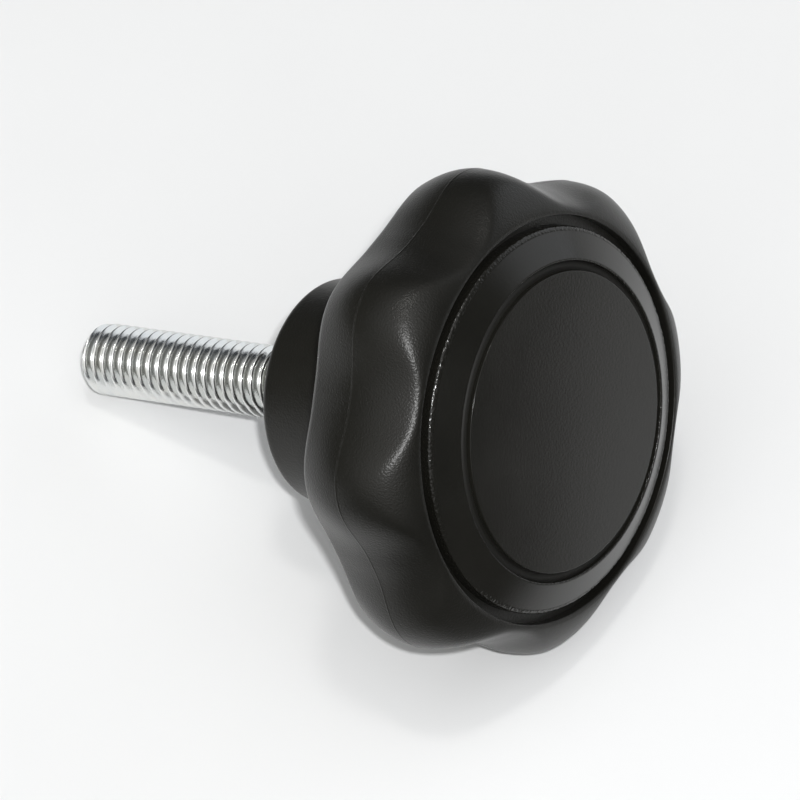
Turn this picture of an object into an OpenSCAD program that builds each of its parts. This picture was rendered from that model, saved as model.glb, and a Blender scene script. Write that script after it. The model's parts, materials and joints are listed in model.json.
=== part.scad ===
// Star knob, 40.6 mm over eight soft lobes, with an M6 x 25 stud and a stepped cover cap.
// It lies on two lobes and the stud's tip, as it would rest on a bench.
// Millimetres. The floor is z = 0. The cap faces +X and upwards, the stud points to -X.

/* [Grip] */
// diameter over the lobes, at the mould parting line
grip_d = 40.6; // [39:0.1:44]
// number of lobes
lobe_count = 8; // [6:1:10]
// how far a flute is cut in below the lobes, on the radius
flute_depth = 1.95; // [1:0.05:2.2]
// thickness of the grip, from its flat rear face to its front lip
grip_t = 10.8; // [10:0.1:13]
// height of the parting line over the rear face
parting_h = 5.1; // [4.5:0.1:5.5]
// how much the lobes draw in at the rear face, on the radius
rear_taper = 2.1; // [1:0.1:2.6]
// how much the flutes draw in at the rear face, on the radius
rear_flute_taper = 1.15; // [0.5:0.05:1.6]
// how much the outline draws in at the front, on the radius
front_taper = 1.5; // [0:0.1:1.6]

/* [Hub] */
// diameter of the round hub behind the grip
hub_d = 18.4; // [16:0.1:20]
// length of the hub behind the grip
hub_len = 11.6; // [9:0.1:13]

/* [Cover cap] */
// diameter of the cap at its rim
cap_d = 31.1; // [30:0.1:31.3]
// width of the open groove round the cap
cap_gap = 0.85; // [0.6:0.05:0.9]
// depth of that groove below the lip
groove_depth = 1; // [0.8:0.1:1.5]
// how far the rim stands over the lip
rim_h = 0.18; // [0:0.02:0.3]
// diameter of the flat disc in the middle
disc_d = 24.2; // [20:0.1:25]
// width of the narrow channel round the disc
channel_w = 0.8; // [0.6:0.05:0.9]
// depth of that channel, below the ring round it
channel_depth = 0.6; // [0.5:0.05:0.7]
// rise of the sloping ring, from the rim up to the channel
ring_rise = 1.1; // [0.8:0.05:1.3]
// how far the disc stands over the channel's outer edge
disc_h = 0.2; // [0.1:0.05:0.5]
// wall of the cap
cap_wall = 1.5; // [1.3:0.1:1.8]

/* [Stud] */
// outside diameter of the thread
stud_d = 6; // [5:1:6]
// pitch of the thread
thread_pitch = 1; // [0.8:0.05:1]
// length of thread standing out of the hub
stud_len = 25; // [20:1:30]
// length of the screw under its head
screw_len = 40; // [39:1:41]
// width across the flats of the hidden hexagon head
head_af = 10; // [8:1:10]
// height of that head
head_h = 4; // [3:0.5:4]

/* [Hidden] */
$fn = 96;

crest_r = grip_d / 2;
front_z = hub_len + grip_t;             // level of the front lip, over the hub's end face
lip_r = cap_d / 2 + cap_gap + 0.2;      // outer edge of the narrow flat lip
crest_spare = 0.15;                     // the turned outline stands this far over the lobes
blend = 0.5;                            // softness of the edge where a flute runs out in front
crest_shape = 1.25;                     // over 1, the flutes are broader than the lobes
front_power = [2.5, 0.74];              // shape of the domed front, from the parting line to the lip
rear_round = 1;                         // radius round the rear edge
per_lobe = 16;                          // facets along one lobe and its flute

// rings of the grip: heights over the rear face
rear_steps = [for (a = [0 : 22.5 : 90]) rear_round * (1 - cos(a))];
side_steps = [for (i = [1 : 4]) rear_round + (parting_h - rear_round) * i / 4];
front_steps = [for (a = [9 : 9 : 90]) parting_h + (grip_t - parting_h) * sin(a)];
ring_h = concat(rear_steps, side_steps, front_steps);
ring_n = lobe_count * per_lobe;

function soft_min(a, b, k) = (a + b - sqrt((a - b) * (a - b) + k * k)) / 2;
function lobe_wave(a) = pow((1 - cos(lobe_count * a)) / 2, crest_shape);
function to_front(h) = max(0, (h - parting_h) / (grip_t - parting_h));
function to_rear(h) = max(0, (parting_h - h) / parting_h);
function round_in(h) =
    h >= rear_round ? 0 : rear_round - sqrt(max(0, rear_round * rear_round - pow(rear_round - h, 2)));

// the fluted outline, cut straight along the axis with a little draft
function fluted_r(a, h) =
    crest_r - flute_depth * (1 - lobe_wave(a))
    - pow(to_rear(h), 1.6) * (rear_taper * lobe_wave(a) + rear_flute_taper * (1 - lobe_wave(a)))
    - front_taper * pow(to_front(h), 2);
// the turned outline, domed towards the lip
function turned_r(h) =
    lip_r + (crest_r + crest_spare - lip_r)
    * pow(max(0, 1 - pow(to_front(h), front_power[0])), front_power[1]);
// the lobes keep their full diameter after the blend
blend_loss = crest_r - soft_min(crest_r + crest_spare, crest_r, blend);
function grip_r(a, h) = soft_min(turned_r(h), fluted_r(a, h), blend) + blend_loss - round_in(h);

grip_points = [for (h = ring_h) for (i = [0 : ring_n - 1])
    let (a = i * 360 / ring_n, r = grip_r(a, h)) [r * cos(a), r * sin(a), hub_len + h]];

// the cap, turned about the axis: levels over the hub's end face
cap_r = cap_d / 2;
recess_r = cap_r + cap_gap;
ledge_z = front_z - groove_depth;
skirt_r = cap_r - 1.4;
skirt_h = 2.4;
cavity_floor = ledge_z - skirt_h - 0.8;
rim_z = front_z + rim_h;
channel_z = rim_z + ring_rise;          // the channel's outer edge
disc_z = channel_z + disc_h;
disc_r = disc_d / 2;
channel_r = disc_r + channel_w;
rim_round = 0.2;
edge_round = 0.12;

// the screw: its thread is rolled on a blank of the pitch diameter, which stays bare in the hub
thread_r = stud_d / 2;
shank_r = (stud_d - 0.65 * thread_pitch) / 2;
thread_in = 0.15;                       // the thread runs this far into the hub
tip_chamfer = 0.6;
head_z = screw_len - stud_len;

// lying at rest: the tilt at which the stud's tip and two lobes touch the floor together
function drop(p, t) = p[0] * cos(t) - p[2] * sin(t);
contact_points = [for (p = grip_points) if (p[0] > 0.8 * crest_r) p];
function grip_drop(t) = max([for (p = contact_points) drop(p, t)]);
function stud_drop(t) = max(
    drop([thread_r, 0, tip_chamfer - stud_len], t), drop([thread_r - tip_chamfer, 0, -stud_len], t));
function rest_tilt(low, high, n) =
    n == 0 ? (low + high) / 2
    : let (mid = (low + high) / 2)
      grip_drop(mid) > stud_drop(mid) ? rest_tilt(mid, high, n - 1) : rest_tilt(low, mid, n - 1);
tilt = rest_tilt(5, 45, 30);
lift = grip_drop(tilt);
function along(p) = p[0] * sin(tilt) + p[2] * cos(tilt);
x_max = max(
    max([for (p = grip_points) along(p)]),
    along([disc_r - edge_round, 0, disc_z]),
    along([cap_r - rim_round, 0, rim_z]));
x_min = -max(
    along([thread_r, 0, stud_len - tip_chamfer]), along([thread_r - tip_chamfer, 0, stud_len]));

module lie_down()
    translate([-(x_min + x_max) / 2, 0, lift])
        rotate([0, 90 - tilt, 0])
            children();

// a quarter-round fillet's points about a centre, from one angle to another
function arc(c, r, a0, a1, n = 5) =
    [for (i = [0 : n]) let (a = a0 + (a1 - a0) * i / n) [c[0] + r * cos(a), c[1] + r * sin(a)]];

module grip_shell() {
    last = len(ring_h) - 1;
    sides = [for (j = [0 : last - 1]) for (i = [0 : ring_n - 1]) for (half = [0, 1])
        let (k = (i + 1) % ring_n, a = j * ring_n + i, b = j * ring_n + k)
        half == 0 ? [a, a + ring_n, b + ring_n] : [a, b + ring_n, b]];
    rear = [[for (i = [0 : ring_n - 1]) i]];
    front = [[for (i = [ring_n - 1 : -1 : 0]) last * ring_n + i]];
    polyhedron(points = grip_points, faces = concat(sides, rear, front));
}

module hub() {
    edge = 0.6;
    cylinder(h = edge, r1 = hub_d / 2 - edge, r2 = hub_d / 2);
    translate([0, 0, edge])
        cylinder(h = hub_len + 1 - edge, d = hub_d);
}

module hexagon(af, h)
    rotate(30)
        cylinder(h = h, d = af / cos(30), $fn = 6);

module knob_body()
    color("dimgray")
    lie_down()
    difference() {
        union() {
            grip_shell();
            hub();
        }
        translate([0, 0, ledge_z])
            cylinder(h = groove_depth + 1, r = recess_r);
        translate([0, 0, cavity_floor])
            cylinder(h = ledge_z - cavity_floor + 1, r = skirt_r);
        translate([0, 0, head_z])
            hexagon(head_af, cavity_floor - head_z + 1);
        translate([0, 0, -1])
            cylinder(h = head_z + 2, r = shank_r);
        translate([0, 0, -1])
            cylinder(h = thread_in + 1, r = thread_r);
    }

module cover_cap() {
    slope = atan2(ring_rise, cap_r - channel_r);    // of the ring
    bed_r = channel_w / 2 - 0.1;                    // the channel's round bed
    bed = [(disc_r + channel_r) / 2, channel_z - channel_depth + bed_r];
    under_z = front_z - 0.2;                        // the flat underside
    color("black")
        lie_down()
        rotate_extrude()
        polygon(concat(
            [[0, under_z], [skirt_r - cap_wall, under_z]],
            [[skirt_r - cap_wall, ledge_z - skirt_h], [skirt_r, ledge_z - skirt_h]],
            [[skirt_r, ledge_z], [cap_r, ledge_z]],
            arc([cap_r - rim_round, rim_z - rim_round], rim_round, 0, 90 - slope),
            arc([channel_r + edge_round, channel_z - edge_round], edge_round, 90 - slope, 175, 4),
            arc(bed, bed_r, 355, 185, 8),
            arc([disc_r - edge_round, disc_z - edge_round], edge_round, 5, 90, 4),
            [[0, disc_z]]));
}

module threaded_stud()
    color("silver")
    lie_down() {
        translate([0, 0, -stud_len])
            cylinder(h = tip_chamfer, r1 = thread_r - tip_chamfer, r2 = thread_r);
        translate([0, 0, tip_chamfer - stud_len])
            cylinder(h = stud_len - tip_chamfer + thread_in, r = thread_r);
        translate([0, 0, thread_in])
            cylinder(h = head_z - thread_in, r = shank_r);
        translate([0, 0, head_z])
            intersection() {
                hexagon(head_af, head_h);
                cylinder(h = head_h, r1 = head_af / 2 + head_h, r2 = head_af / 2 - 0.1);
            }
    }

knob_body();
cover_cap();
threaded_stud();
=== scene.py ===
"""A star knob with a threaded stud and a grooved cover cap, lying on a pale bench.

The knob is laid out along its own axis, in millimetres over the hub's end face, and is then set
down in the frame's metres: it lies on two of its lobes and on the tip of the stud.
"""

import json
import math

import bpy
import numpy as np
from mathutils import Matrix, Vector


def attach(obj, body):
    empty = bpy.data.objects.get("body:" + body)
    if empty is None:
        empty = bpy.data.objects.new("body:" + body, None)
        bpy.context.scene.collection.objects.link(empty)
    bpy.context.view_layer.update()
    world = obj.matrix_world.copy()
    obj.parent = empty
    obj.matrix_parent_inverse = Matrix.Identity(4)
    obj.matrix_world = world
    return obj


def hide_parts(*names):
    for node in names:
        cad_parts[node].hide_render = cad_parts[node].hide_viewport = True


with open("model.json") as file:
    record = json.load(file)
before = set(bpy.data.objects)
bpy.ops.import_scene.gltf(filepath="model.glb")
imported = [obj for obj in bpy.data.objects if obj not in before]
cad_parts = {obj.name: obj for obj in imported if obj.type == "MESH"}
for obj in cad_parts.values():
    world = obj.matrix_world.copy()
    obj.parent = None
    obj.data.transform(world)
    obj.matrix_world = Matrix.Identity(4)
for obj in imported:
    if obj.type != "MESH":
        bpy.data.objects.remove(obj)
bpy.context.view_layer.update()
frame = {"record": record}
scene = bpy.context.scene

# ---------------------------------------------------------------------------------------------
# How the knob lies. Its axis runs from the middle of the hub's end face, out through the cover
# cap, and leans up from the bench. The stud's mount gives the axis, and the hub's face its start.
# ---------------------------------------------------------------------------------------------

MM = 0.001

mounts = {mount["name"]: mount for mount in frame["record"]["mounts"]}
stud_point = Vector(mounts["stud"]["pos_m"])
to_cap = -Vector(mounts["stud"]["axis"]).normalized()
face_point = Vector(mounts["hub_face"]["pos_m"])
hub_end = stud_point + to_cap * (face_point - stud_point).dot(to_cap)
across = Vector((0, 1, 0))
to_bench = across.cross(to_cap)

knob_axes = np.array([to_bench, across, to_cap])
knob_start = np.array(hub_end)


def set_down(points):
    """Turns millimetres along the knob's own axes into metres in the frame."""
    return knob_start + MM * np.asarray(points, float) @ knob_axes


# ---------------------------------------------------------------------------------------------
# The screw: zinc-plated steel with a rolled M6 thread, set into the hub from the front. 25 mm of
# thread stand out as the stud. The bare shank and the hexagon head sit inside the knob.
# ---------------------------------------------------------------------------------------------

THREAD_R = 3.0
PITCH = 1.0
THREAD_DEPTH = 0.6134 * PITCH                   # the depth of a metric thread
STUD_LEN = 25.0
TIP_CHAMFER = 0.6
THREAD_IN = 0.15                                # the thread runs this far into the hub
SHANK_R = (2 * THREAD_R - 0.65 * PITCH) / 2     # the blank that the thread is rolled on
HEAD_Z = 15.0
HEAD_H = 4.0
HEAD_AF = 10.0                                  # across the flats
HEAD_DROPS = (HEAD_H, 0.55, 0.3, 0.0)           # where the head has rings, below its top
HEAD_CONE_IN = 0.1                              # the cone on its corners starts inside the flats
SCREW_SIDES = 96
RINGS_PER_TURN = 24
SCREW_CREASE = 40

ZINC_PALE = (0.83, 0.82, 0.78)
ZINC_BLUE = (0.71, 0.74, 0.755)
ZINC_PATCHES = 700.0                            # this and the next are counts along a metre
ZINC_SPECKS = 5200.0
ZINC_SPECK_DEPTH = 0.006 * MM
ZINC_ROUGHNESS = 0.1
ZINC_DULLER_BY = 0.14                           # in the dullest patches


def around(count):
    """Angles right round the axis, in radians."""
    return np.arange(count) * 2 * math.pi / count


def ring(angles, radius, height):
    """One ring of points; the radius and the height are numbers, or one for each angle."""
    radius = np.broadcast_to(radius, angles.shape)
    height = np.broadcast_to(height, angles.shape)
    return np.stack([radius * np.cos(angles), radius * np.sin(angles), height], axis=1)


def lay_rings(name, rings, closed=False, crease=34):
    """A mesh skinned over rings of points. Its two ends are capped, or joined if it is closed.

    Edges that bend by more than the crease, in degrees, are left sharp.
    """
    rings = np.array(rings)
    turns, sides = rings.shape[:2]
    index = np.arange(turns * sides).reshape(turns, sides)
    upper = np.roll(index, -1, axis=0) if closed else index[1:]
    lower = index if closed else index[:-1]
    quads = np.stack([lower, np.roll(lower, -1, 1), np.roll(upper, -1, 1), upper], axis=-1)
    faces = quads.reshape(-1, 4).tolist()
    if not closed:
        faces += [index[0][::-1].tolist(), index[-1].tolist()]
    mesh = bpy.data.meshes.new(name)
    mesh.from_pydata(set_down(rings.reshape(-1, 3)).tolist(), [], faces)
    mesh.shade_smooth()
    mesh.set_sharp_from_angle(angle=math.radians(crease))
    piece = bpy.data.objects.new(name, mesh)
    scene.collection.objects.link(piece)
    return piece


def thread_radius(angle, height):
    """A rolled thread, whose crests and roots run softly into its flanks."""
    turn = height / PITCH - angle / (2 * math.pi)
    return THREAD_R - THREAD_DEPTH * (1 - np.cos(2 * math.pi * turn)) / 2


def hexagon_radius(angle, across_flats):
    """The distance from the axis to a hexagon that has corners at 30, 90, 150... degrees."""
    return across_flats / 2 / np.cos((angle + math.pi / 6) % (math.pi / 3) - math.pi / 6)


def screw_rings():
    """From the stud's chamfered tip, up the thread and the bare shank, to the top of the head."""
    angles = around(SCREW_SIDES)
    rings = []
    turns = (STUD_LEN + THREAD_IN) / PITCH
    for height in np.linspace(-STUD_LEN, THREAD_IN, int(turns * RINGS_PER_TURN) + 1):
        cone = THREAD_R - TIP_CHAMFER + (height + STUD_LEN)
        rings.append(ring(angles, np.minimum(thread_radius(angles, height), cone), height))
    rings.append(ring(angles, SHANK_R, THREAD_IN))
    rings.append(ring(angles, SHANK_R, HEAD_Z))
    hexagon = hexagon_radius(angles, HEAD_AF)
    for drop in HEAD_DROPS:
        cone = HEAD_AF / 2 - HEAD_CONE_IN + drop
        rings.append(ring(angles, np.minimum(hexagon, cone), HEAD_Z + HEAD_H - drop))
    return rings


class Wire:
    """An output of a node in a finish. Python's operators on it add Math nodes."""

    def __init__(self, finish, socket):
        self.finish = finish
        self.socket = socket

    def maths(self, operation, *values):
        settings = {"operation": operation}
        return self.finish.node("ShaderNodeMath", settings, dict(enumerate(values)))

    def __add__(self, other):
        return self.maths("ADD", self, other)

    def __sub__(self, other):
        return self.maths("SUBTRACT", self, other)

    def __rsub__(self, other):
        return self.maths("SUBTRACT", other, self)

    def __mul__(self, other):
        return self.maths("MULTIPLY", self, other)

    def __abs__(self):
        return self.maths("ABSOLUTE", self)

    __radd__ = __add__
    __rmul__ = __mul__


class Finish:
    """The nodes of a material, or of the room round the bench, which are added by calls."""

    def __init__(self, owner, shader="Principled BSDF", **constants):
        owner.use_nodes = True
        self.tree = owner.node_tree
        self.shader = self.tree.nodes[shader]
        for socket, value in constants.items():
            self.shader.inputs[socket.replace("_", " ")].default_value = value

    def node(self, kind, settings=None, inputs=None, output=0):
        """Adds a node: its settings first, then a value or a wire for each of its sockets."""
        made = self.tree.nodes.new(kind)
        for name, value in (settings or {}).items():
            setattr(made, name, value)
        for name, value in (inputs or {}).items():
            if isinstance(value, Wire):
                self.tree.links.new(value.socket, made.inputs[name])
            else:
                made.inputs[name].default_value = value
        return Wire(self, made.outputs[output])

    def put(self, socket, wire):
        """Feeds a socket of the shader itself."""
        self.tree.links.new(wire.socket, self.shader.inputs[socket])

    def vector_maths(self, operation, *values, output=0):
        """Output 0 is a vector and output 1 a number, such as a length or a dot product."""
        settings = {"operation": operation}
        return self.node("ShaderNodeVectorMath", settings, dict(enumerate(values)), output)

    def place(self):
        return self.node("ShaderNodeTexCoord", output="Object")

    def noise(self, scale, detail):
        """Soft mottling, whose scale is about how many patches lie along a metre."""
        inputs = {"Vector": self.place(), "Scale": scale, "Detail": detail}
        return self.node("ShaderNodeTexNoise", {}, inputs)

    def axis_distance(self):
        """How far each point is from the knob's axis, in millimetres."""
        from_hub_end = self.vector_maths("SUBTRACT", self.place(), hub_end)
        sideways = self.vector_maths("CROSS_PRODUCT", from_hub_end, to_cap)
        return 1 / MM * self.vector_maths("LENGTH", sideways, output=1)

    def rise(self, value, start, end):
        """0 up to the start and 1 from the end, with a smooth rise between them."""
        settings = {"interpolation_type": "SMOOTHSTEP"}
        return self.node("ShaderNodeMapRange", settings, {0: value, 1: start, 2: end})

    def blend(self, share, first, second):
        """A colour between two others, each of which may be three numbers or a wire."""
        colours = [c if isinstance(c, Wire) else (*c, 1) for c in (first, second)]
        inputs = {0: share, 6: colours[0], 7: colours[1]}
        return self.node("ShaderNodeMix", {"data_type": "RGBA"}, inputs, output=2)

    def relief(self, height, depth):
        """Fine relief, whose depth is in metres."""
        inputs = {"Strength": 1.0, "Distance": depth, "Height": height}
        self.put("Normal", self.node("ShaderNodeBump", {}, inputs))


def zinc_plate():
    """Bright zinc over rolled steel: a little duller and bluer in patches, with fine specks."""
    material = bpy.data.materials.new("zinc_plate")
    finish = Finish(material, Metallic=1.0)
    dullness = finish.noise(ZINC_PATCHES, 3.0)
    finish.put("Base Color", finish.blend(dullness, ZINC_PALE, ZINC_BLUE))
    finish.put("Roughness", ZINC_ROUGHNESS + dullness * ZINC_DULLER_BY)
    finish.relief(finish.noise(ZINC_SPECKS, 2.0), ZINC_SPECK_DEPTH)
    return material


screw = lay_rings("zinc_screw", screw_rings(), crease=SCREW_CREASE)
screw.data.materials.append(zinc_plate())
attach(screw, "root")
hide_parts("threaded_stud")

# ---------------------------------------------------------------------------------------------
# The knob's body: one moulding in black plastic, with a fine spark-eroded skin. Eight soft lobes
# run up into a domed front, the two halves of the mould leave a faint line round the widest part,
# and the hub behind holds the screw.
# ---------------------------------------------------------------------------------------------

HUB_R = 9.2
HUB_LEN = 11.6
HUB_EDGE = 0.6                                  # the rounding at the hub's end
HUB_FACE_R = 4.0                                # a ring about half way over the end face
HUB_FACE_IN = 0.2                               # rings this close to that rounding
HUB_SIDE_IN = 0.3
HUB_FILLET = 0.4                                # where the hub runs into the grip
LOBES = 8
CREST_R = 20.3
FLUTE_DEPTH = 1.95
GRIP_T = 10.8                                   # from the rear face to the front lip
PARTING_H = 5.1                                 # heights of the grip are over its rear face
REAR_TAPER = 2.1
REAR_TAPER_POWER = 1.6
REAR_FLUTE_TAPER = 1.15
FRONT_TAPER = 1.5
REAR_ROUND = 1.0
REAR_FACE_SHARES = (0.1, 0.5, 0.9, 0.97)        # rings over the rear face, from hub to edge
CREST_SHAPE = 1.25                              # over 1, the flutes are broader than the lobes
FRONT_POWER = (2.5, 0.74)                       # shape of the dome, from parting line to lip
CREST_SPARE = 0.15
BLEND = 0.5                                     # softness where a flute runs out in front
CAP_R = 15.55
CAP_GAP = 0.85
GROOVE_DEPTH = 1.0
LIP_R = CAP_R + CAP_GAP + 0.2
FRONT_Z = HUB_LEN + GRIP_T
RECESS_R = CAP_R + CAP_GAP
RECESS_TOP_IN = 0.4
LEDGE_Z = FRONT_Z - GROOVE_DEPTH
SKIRT_R = CAP_R - 1.4
SKIRT_H = 2.4
CAVITY_FLOOR = LEDGE_Z - SKIRT_H - 0.8
LIP_EDGE = 0.12
PARTING_RIDGE = 0.02
PARTING_WIDTH = 0.07
PARTING_BAND = 0.25                             # closer rings, this far each side of the line
PARTING_GAP = 0.02                              # the least room after that band
BODY_SIDES = 384
REAR_EDGE_STEPS = 12
SIDE_STEPS = 19
PARTING_STEPS = 24
FRONT_STEPS = 72

PLASTIC_DARK = (0.0062, 0.006, 0.0047)
PLASTIC_GREY = (0.0125, 0.012, 0.01)
PLASTIC_PATCHES = 160.0
PLASTIC_DULLER_BY = 0.08
BODY_GLOSS = 0.32
BODY_ROUGHNESS = 0.28
BODY_GRAIN = 6500.0
BODY_GRAIN_DEPTH = 0.03 * MM


def soft_min(a, b, k):
    """The smaller of two numbers, with a soft change between them of about the width k."""
    return (a + b - np.sqrt((a - b) ** 2 + k * k)) / 2


def grip_radius(angles, height):
    """The lobed outline at a height over the grip's rear face."""
    front = max(0.0, (height - PARTING_H) / (GRIP_T - PARTING_H))
    rear = max(0.0, (PARTING_H - height) / PARTING_H)
    lobe = ((1 - np.cos(LOBES * angles)) / 2) ** CREST_SHAPE
    taper = REAR_TAPER * lobe + REAR_FLUTE_TAPER * (1 - lobe)
    fluted = CREST_R - FLUTE_DEPTH * (1 - lobe) - FRONT_TAPER * front**2
    fluted = fluted - rear**REAR_TAPER_POWER * taper
    dome = max(0.0, 1 - front ** FRONT_POWER[0]) ** FRONT_POWER[1]
    turned = LIP_R + (CREST_R + CREST_SPARE - LIP_R) * dome
    loss = CREST_R - soft_min(CREST_R + CREST_SPARE, CREST_R, BLEND)
    edge = max(0.0, REAR_ROUND - height)
    rounded = REAR_ROUND - math.sqrt(REAR_ROUND**2 - edge**2)
    ridge = PARTING_RIDGE * math.exp(-(((height - PARTING_H) / PARTING_WIDTH) ** 2))
    return soft_min(turned, fluted, BLEND) + loss - rounded + ridge


def arc(centre, radius, start, end, steps):
    """Points of a rounded edge in the section, as (radius, height)."""
    angles = np.radians(np.linspace(start, end, steps + 1))
    return [(centre[0] + radius * math.cos(a), centre[1] + radius * math.sin(a)) for a in angles]


def grip_heights():
    """Rings from the rounded rear edge, up the side and over the parting line, to the lip."""
    turned_in = np.radians(np.linspace(0, 90, REAR_EDGE_STEPS + 1))
    rear_edge = REAR_ROUND * (1 - np.cos(turned_in))
    side = np.linspace(REAR_ROUND, PARTING_H - PARTING_BAND, SIDE_STEPS + 1)[1:]
    band = (PARTING_H - PARTING_BAND, PARTING_H + PARTING_BAND)
    parting = np.linspace(*band, PARTING_STEPS + 1)[1:]
    domed = np.sin(np.radians(np.linspace(0, 90, FRONT_STEPS + 1)))
    front = PARTING_H + (GRIP_T - PARTING_H) * domed
    front = front[front > parting[-1] + PARTING_GAP]
    return np.concatenate([rear_edge, side, parting, front])


def body_rings():
    """From the head's pocket, down the bore, over the hub and the grip, and into the socket."""
    angles = around(BODY_SIDES)
    rings = []

    def turn(*section):
        for radius, height in section:
            rings.append(ring(angles, radius, height))

    thread_root = THREAD_R - THREAD_DEPTH
    turn((SHANK_R, HEAD_Z), (SHANK_R, THREAD_IN), (thread_root, THREAD_IN), (thread_root, 0))
    turn((HUB_FACE_R, 0), (HUB_R - HUB_EDGE - HUB_FACE_IN, 0))
    turn(*arc((HUB_R - HUB_EDGE, HUB_EDGE), HUB_EDGE, -90, 0, steps=8))
    turn((HUB_R, HUB_EDGE + HUB_SIDE_IN), (HUB_R, HUB_LEN - 2 * HUB_FILLET))
    turn(*arc((HUB_R + HUB_FILLET, HUB_LEN - HUB_FILLET), HUB_FILLET, 180, 90, steps=6))
    rear = grip_radius(angles, 0.0)
    for share in REAR_FACE_SHARES:
        radius = HUB_R + HUB_FILLET + (rear - HUB_R - HUB_FILLET) * share
        rings.append(ring(angles, radius, HUB_LEN))
    for height in grip_heights():
        rings.append(ring(angles, grip_radius(angles, height), HUB_LEN + height))
    turn(*arc((RECESS_R + LIP_EDGE, FRONT_Z - LIP_EDGE), LIP_EDGE, 90, 180, steps=5))
    turn((RECESS_R, FRONT_Z - RECESS_TOP_IN), (RECESS_R, LEDGE_Z))
    turn((SKIRT_R, LEDGE_Z), (SKIRT_R, CAVITY_FLOOR))
    pocket = hexagon_radius(angles, HEAD_AF)
    turn((pocket, CAVITY_FLOOR), (pocket, HEAD_Z))
    return rings


def black_plastic(name, gloss):
    """Glass-filled black plastic, a little greyer in patches. Also gives the patches."""
    material = bpy.data.materials.new(name)
    skin = Finish(material, Specular_IOR_Level=gloss)
    patches = skin.noise(PLASTIC_PATCHES, 3.0)
    skin.put("Base Color", skin.blend(patches, PLASTIC_DARK, PLASTIC_GREY))
    return material, skin, patches


body_black, body_skin, body_patches = black_plastic("body_black", BODY_GLOSS)
body_skin.put("Roughness", BODY_ROUGHNESS + body_patches * PLASTIC_DULLER_BY)
body_skin.relief(body_skin.noise(BODY_GRAIN, 1.5), BODY_GRAIN_DEPTH)

body = lay_rings("lobed_body", body_rings(), closed=True)
body.data.materials.append(body_black)
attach(body, "root")
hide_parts("knob_body")

# ---------------------------------------------------------------------------------------------
# The cover cap: a black moulding, pressed into the body by the skirt under it. An open groove
# stays round its rim, a ring slopes up from there, and a narrow channel rings the flat disc. Its
# rim and the channel's edge are grained and bright, and the channel's bed is dull.
# ---------------------------------------------------------------------------------------------

RIM_H = 0.18
DISC_R = 12.1
CHANNEL_W = 0.8
CHANNEL_DEPTH = 0.6
RING_RISE = 1.1
DISC_H = 0.2
CAP_WALL = 1.5
RIM_ROUND = 0.3
EDGE_ROUND = 0.14
DISC_ROUND = 0.05
UNDER_Z = FRONT_Z - 0.2
RIM_Z = FRONT_Z + RIM_H
RIM_FOOT_Z = FRONT_Z - 0.1
CHANNEL_Z = RIM_Z + RING_RISE
CHANNEL_R = DISC_R + CHANNEL_W
CHANNEL_MIDDLE = (DISC_R + CHANNEL_R) / 2
BED_R = CHANNEL_W / 2 - 0.1
DISC_Z = CHANNEL_Z + DISC_H
DISC_FLAT_IN = 0.05                             # two rings on the disc, inside its edge
DISC_RING_IN = 0.9
CAP_MIDDLE = 0.5                                # the last ring, which one flat face fills
RING_SHARES = (0.02, 0.5, 0.98)                 # rings over the slope, from rim to channel
CAP_SIDES = 256

CAP_GLOSS = 0.4
CAP_ROUGHNESS = 0.16
BED_DULLER_BY = 0.45
EDGES_BRIGHTER_BY = 0.05
CAP_GRAIN = 4200.0
CAP_GRAIN_DEPTH = 0.07 * MM
DISC_GRAIN_SHARE = 0.06                         # of the depth, away from the edges
BED_DULL = (0.3, 0.36)                          # each pair: where a fade starts and ends
RIM_GRAIN = (CAP_R - 0.4, CAP_R - 0.25)
CHANNEL_GRAIN_IN = (CHANNEL_R - 0.1, CHANNEL_R - 0.05)
CHANNEL_GRAIN_OUT = (CHANNEL_R, CHANNEL_R + 0.15)


def cap_rings():
    """From the flat underside, over the skirt and the rim, and up to the middle of the disc."""
    angles = around(CAP_SIDES)
    inner = SKIRT_R - CAP_WALL
    square_to_ring = 90 - math.degrees(math.atan2(RING_RISE, CAP_R - CHANNEL_R))
    rim_centre = (CAP_R - RIM_ROUND, RIM_Z - RIM_ROUND)
    rim = arc(rim_centre, RIM_ROUND, 0, square_to_ring, steps=10)
    edge_centre = (CHANNEL_R + EDGE_ROUND, CHANNEL_Z - EDGE_ROUND)
    edge = arc(edge_centre, EDGE_ROUND, square_to_ring, 175, steps=8)
    run = np.subtract(edge[0], rim[-1])
    slope = [tuple(np.add(rim[-1], run * share)) for share in RING_SHARES]
    bed = arc((CHANNEL_MIDDLE, CHANNEL_Z - CHANNEL_DEPTH + BED_R), BED_R, 355, 185, steps=16)
    disc_centre = (DISC_R - DISC_ROUND, DISC_Z - DISC_ROUND)
    section = [(CAP_MIDDLE, UNDER_Z), (inner, UNDER_Z)]
    section += [(inner, LEDGE_Z - SKIRT_H), (SKIRT_R, LEDGE_Z - SKIRT_H)]
    section += [(SKIRT_R, LEDGE_Z), (CAP_R, LEDGE_Z), (CAP_R, RIM_FOOT_Z)]
    section += rim + slope + edge + bed
    section += arc(disc_centre, DISC_ROUND, 5, 90, steps=8)
    section += [(DISC_R - DISC_ROUND - DISC_FLAT_IN, DISC_Z), (DISC_R - DISC_RING_IN, DISC_Z)]
    section += [(CAP_MIDDLE, DISC_Z)]
    return [ring(angles, radius, height) for radius, height in section]


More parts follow.
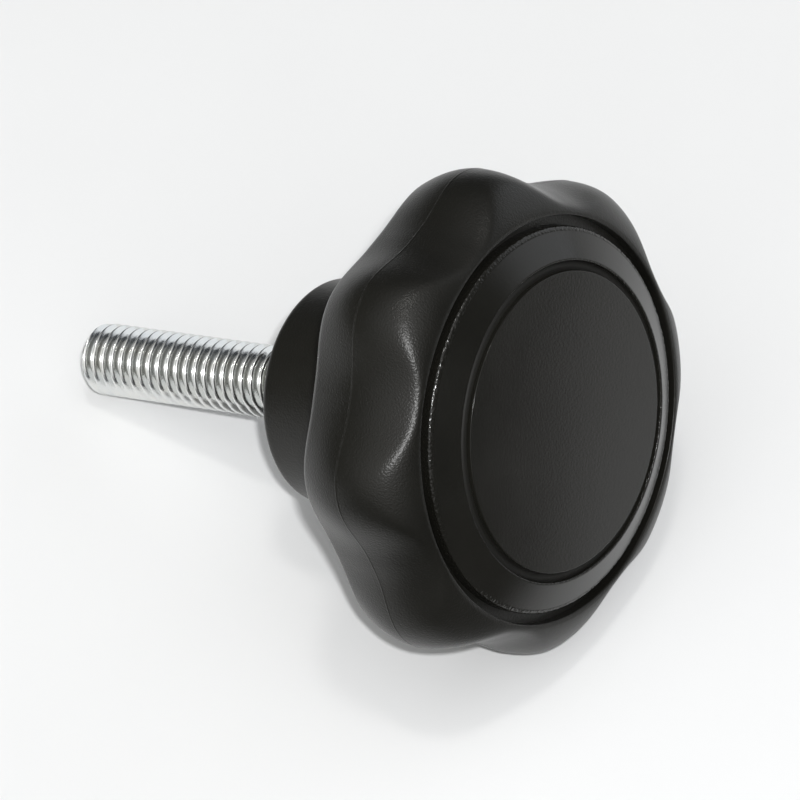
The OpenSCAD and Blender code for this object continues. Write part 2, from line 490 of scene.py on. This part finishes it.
cap_black, cap_skin, cap_patches = black_plastic("cap_black", CAP_GLOSS)
from_axis = cap_skin.axis_distance()
dull_bed = 1 - cap_skin.rise(abs(from_axis - CHANNEL_MIDDLE), *BED_DULL)
edge_in = cap_skin.rise(from_axis, *CHANNEL_GRAIN_IN)
edge_out = cap_skin.rise(from_axis, *CHANNEL_GRAIN_OUT)
edges = cap_skin.rise(from_axis, *RIM_GRAIN) + edge_in * (1 - edge_out)
roughness = CAP_ROUGHNESS + cap_patches * PLASTIC_DULLER_BY
roughness = roughness + dull_bed * BED_DULLER_BY - edges * EDGES_BRIGHTER_BY
cap_skin.put("Roughness", roughness)
grain_share = DISC_GRAIN_SHARE + edges * (1 - DISC_GRAIN_SHARE)
cap_skin.relief(cap_skin.noise(CAP_GRAIN, 0.5) * grain_share, CAP_GRAIN_DEPTH)

cap = lay_rings("grooved_cap", cap_rings())
cap.data.materials.append(cap_black)
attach(cap, "root")
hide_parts("cover_cap")

# ---------------------------------------------------------------------------------------------
# The bench: a plain pale paper floor, far wider than the knob. A card lies on it in front, to the
# right, and goes from pale at its near edge to dark. Only reflections show it: it paints a shaded
# reflection on the cap's disc.
# ---------------------------------------------------------------------------------------------

FLOOR_HALF = 3.0
FLOOR_PALE = (0.83, 0.835, 0.84)
FLOOR_PALER = (0.85, 0.855, 0.86)
FLOOR_PATCHES = 60.0
CARD_AWAY = Vector((0.783, -0.622, 0))          # from the knob along the card
CARD_SIDE = Vector((0.622, 0.783, 0))
CARD_LIFT = Vector((0, 0, 0.001))
CARD_START = 0.026
CARD_DARK = 0.04                                # it is fully dark from here
CARD_END = 1.0
CARD_HALF_WIDTH = 0.5
CARD_PALE = (0.84, 0.845, 0.85)
CARD_BLACK = (0.03, 0.03, 0.03)


def flat_sheet(name, corners, paper):
    """One flat face through four corners."""
    mesh = bpy.data.meshes.new(name)
    mesh.from_pydata(corners, [], [(0, 1, 2, 3)])
    mesh.materials.append(paper)
    sheet = bpy.data.objects.new(name, mesh)
    scene.collection.objects.link(sheet)
    return sheet


floor_paper = bpy.data.materials.new("pale_paper")
weave = Finish(floor_paper, Roughness=0.85, Specular_IOR_Level=0.2)
weave.put("Base Color", weave.blend(weave.noise(FLOOR_PATCHES, 2.0), FLOOR_PALE, FLOOR_PALER))

floor_turns = ((-1, -1), (1, -1), (1, 1), (-1, 1))
floor_corners = [(FLOOR_HALF * x, FLOOR_HALF * y, 0) for x, y in floor_turns]
floor = flat_sheet("pale_floor", floor_corners, floor_paper)

# painted reflection: a dark sheet that only glossy rays see, which shades the cap's disc
painted_reflection_paper = bpy.data.materials.new("painted_reflection_card")
grade = Finish(painted_reflection_paper, Roughness=0.9)
along_card = grade.vector_maths("DOT_PRODUCT", grade.place(), CARD_AWAY, output=1)
darkness = grade.rise(along_card, CARD_START, CARD_DARK)
grade.put("Base Color", grade.blend(darkness, CARD_PALE, CARD_BLACK))

card_corners = [
    CARD_AWAY * reach + CARD_SIDE * side * CARD_HALF_WIDTH + CARD_LIFT
    for reach, side in ((CARD_START, -1), (CARD_END, -1), (CARD_END, 1), (CARD_START, 1))
]
card = flat_sheet("dark_card", card_corners, painted_reflection_paper)
card.visible_camera = False
card.visible_diffuse = False
card.visible_shadow = False

# ---------------------------------------------------------------------------------------------
# The camera: a long lens, about 0.65 m away and well above the bench, which sees the cap in front
# and the stud behind it to the left. It is turned a little about its own axis.
# ---------------------------------------------------------------------------------------------

LOOK_AT = Vector((0.005464, -0.000667, 0.015421))
CAMERA_AZIMUTH = math.radians(33.661)
CAMERA_ELEVATION = math.radians(49.330)
CAMERA_ROLL = math.radians(-2.752)
CAMERA_DISTANCE = 0.64732
SENSOR_MM = 36.0
LENS_MM = 361.57
NEAREST_SEEN = 0.01

back = Vector((
    math.sin(CAMERA_AZIMUTH) * math.cos(CAMERA_ELEVATION),
    -math.cos(CAMERA_AZIMUTH) * math.cos(CAMERA_ELEVATION),
    math.sin(CAMERA_ELEVATION),
))
level_right = Vector((0, 0, 1)).cross(back).normalized()
level_up = back.cross(level_right)
right = level_right * math.cos(CAMERA_ROLL) + level_up * math.sin(CAMERA_ROLL)
up = back.cross(right)

lens = bpy.data.cameras.new("camera")
lens.lens = LENS_MM
lens.sensor_width = SENSOR_MM
lens.clip_start = NEAREST_SEEN
camera = bpy.data.objects.new("camera", lens)
turn_to = Matrix((right, up, back)).transposed().to_4x4()
camera.matrix_world = Matrix.Translation(LOOK_AT + back * CAMERA_DISTANCE) @ turn_to
scene.collection.objects.link(camera)
scene.camera = camera

# ---------------------------------------------------------------------------------------------
# The light: a studio that is dim low down on the left and bright behind on the right, with a
# broad soft light on the camera's side and a small strong one overhead. A small lamp beside the
# camera picks out the edges and the grain.
# ---------------------------------------------------------------------------------------------

ROOM_DIM = (0.03, 0.035, 0.045)
# each patch of light: its direction, the cosines where it is whole and where it ends, its colour
ROOM_PATCHES = (
    ((-0.77, -0.58, 0.25), 0.95, 0.1, (0.12, 0.12, 0.105)),
    ((0.3, 0.93, 0.2), 0.95, 0.8, (0.95, 0.98, 1.02)),
    ((-0.1, 0.1, 1), 0.95, 0.75, (0.45, 0.45, 0.45)),
    ((0.22, -0.53, 0.82), 0.85, 0.45, (0.96, 0.96, 0.95)),
    ((0, 0, 1), 0.9987, 0.9972, (24.0, 23.7, 22.8)),
)
LAMP_RIGHT = 0.02                               # the lamp's place, beside the camera
LAMP_UP = 0.026
LAMP_SIZE = 0.02
LAMP_WATTS = 2.55

room = bpy.data.worlds.new("room")
walls = Finish(room, "Background")
towards = walls.node("ShaderNodeTexCoord", output="Generated")
room_light = ROOM_DIM
for direction, whole, ended, colour in ROOM_PATCHES:
    middle = Vector(direction).normalized()
    nearness = walls.vector_maths("DOT_PRODUCT", towards, middle, output=1)
    room_light = walls.blend(walls.rise(nearness, ended, whole), room_light, colour)
walls.put("Color", room_light)
scene.world = room

lamp = bpy.data.lights.new("lamp", "AREA")
lamp.shape = "DISK"
lamp.size = LAMP_SIZE
lamp.energy = LAMP_WATTS
lamp_place = camera.location + right * LAMP_RIGHT + up * LAMP_UP
lamp_turn = (lamp_place - LOOK_AT).normalized().to_track_quat("Z", "Y").to_matrix().to_4x4()
lamp_holder = bpy.data.objects.new("lamp", lamp)
lamp_holder.matrix_world = Matrix.Translation(lamp_place) @ lamp_turn
scene.collection.objects.link(lamp_holder)

scene.view_settings.view_transform = "Standard"
scene.view_settings.look = "None"
